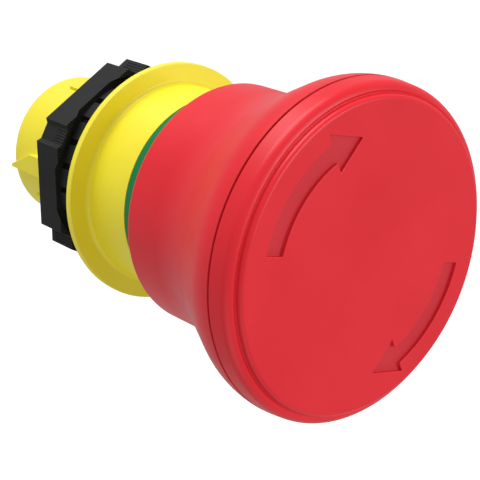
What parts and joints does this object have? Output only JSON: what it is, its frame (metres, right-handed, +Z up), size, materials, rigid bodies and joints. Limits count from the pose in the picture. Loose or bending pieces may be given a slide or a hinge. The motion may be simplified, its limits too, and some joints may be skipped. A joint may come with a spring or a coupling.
{
  "type": "emergency stop button",
  "caption": "Panel-mounted emergency stop operator with a red mushroom head that pushes to latch and turns to release, a yellow bezel, a green band and a black panel nut.",
  "frame": {"origin": "centre of the panel seat: where the button's axis crosses the flange's rear face, which lies on the panel's front face", "axes": "+Y along the button's axis into the panel, so the head faces -Y; +Z up; +X to the right as seen from the front"},
  "size_m": [0.04, 0.0578, 0.04],
  "materials": {
    "yellow_plastic": "satin moulded",
    "red_plastic": "satin moulded",
    "green_plastic": "satin moulded",
    "black_nylon": "matte moulded",
    "black_plastic": "matte moulded",
    "black_rubber": "matte",
    "acetal": "satin",
    "hardened_steel": "ground",
    "plated_steel": "zinc plated",
    "spring_steel": "drawn wire"
  },
  "bodies": {
    "housing": {"bezel_housing": "yellow_plastic", "panel_gasket": "black_rubber", "indicator_ring": "green_plastic", "guide_bush": "acetal", "latch_sleeve": "hardened_steel", "stem_seal": "black_rubber", "seal_retainer": "black_plastic", "spring_washer": "plated_steel", "return_spring": "spring_steel"},
    "stem": {"plunger_stem": "black_plastic", "contact_pusher": "black_plastic", "pusher_pin": "plated_steel", "bearing_washer": "acetal", "latch_spring_left": "spring_steel", "latch_spring_right": "spring_steel"},
    "head": {"mushroom_skirt": "red_plastic", "front_cap": "red_plastic", "cam_spindle": "acetal", "head_washer": "plated_steel", "head_screw": "plated_steel", "torsion_spring": "spring_steel"},
    "latch_left": {"latch_pin_left": "hardened_steel"},
    "latch_right": {"latch_pin_right": "hardened_steel"},
    "washer": {"lock_washer": "black_nylon"},
    "nut": {"fixing_nut": "black_nylon"}
  },
  "joints": [
    {"name": "push", "type": "slide", "parent": "housing", "child": "stem", "axis": [0, 1, 0], "range_m": [0, 0.005], "stiffness_N_per_m": 1500, "springref_m": -0.008, "deforming": ["return_spring"]},
    {"name": "twist", "type": "hinge", "parent": "stem", "child": "head", "pos_m": [0, 0, 0], "axis": [0, 1, 0], "range_deg": [0, 45], "stiffness_Nm_per_rad": 0.15, "springref_deg": -28.65, "deforming": ["torsion_spring"]},
    {"name": "latch_left_out", "type": "slide", "parent": "stem", "child": "latch_left", "axis": [-1, 0, 0], "range_m": [0, 0.0008], "deforming": ["latch_spring_left"]},
    {"name": "latch_right_out", "type": "slide", "parent": "stem", "child": "latch_right", "axis": [1, 0, 0], "range_m": [0, 0.0008], "deforming": ["latch_spring_right"]},
    {"name": "washer_along_barrel", "type": "slide", "parent": "housing", "child": "washer", "axis": [0, 1, 0], "range_m": [-0.003, 0.003]},
    {"name": "nut_turn", "type": "hinge", "parent": "washer", "child": "nut", "pos_m": [0, 0.0077, 0], "axis": [0, 1, 0], "range_deg": [-720, 720]}
  ],
  "couplings": [
    {"joint": "latch_left_out", "follows": "push", "ratio": 0.16},
    {"joint": "latch_right_out", "follows": "push", "ratio": 0.16},
    {"joint": "washer_along_barrel", "follows": "nut_turn", "m_per_rad": 0.00023873}
  ]
}
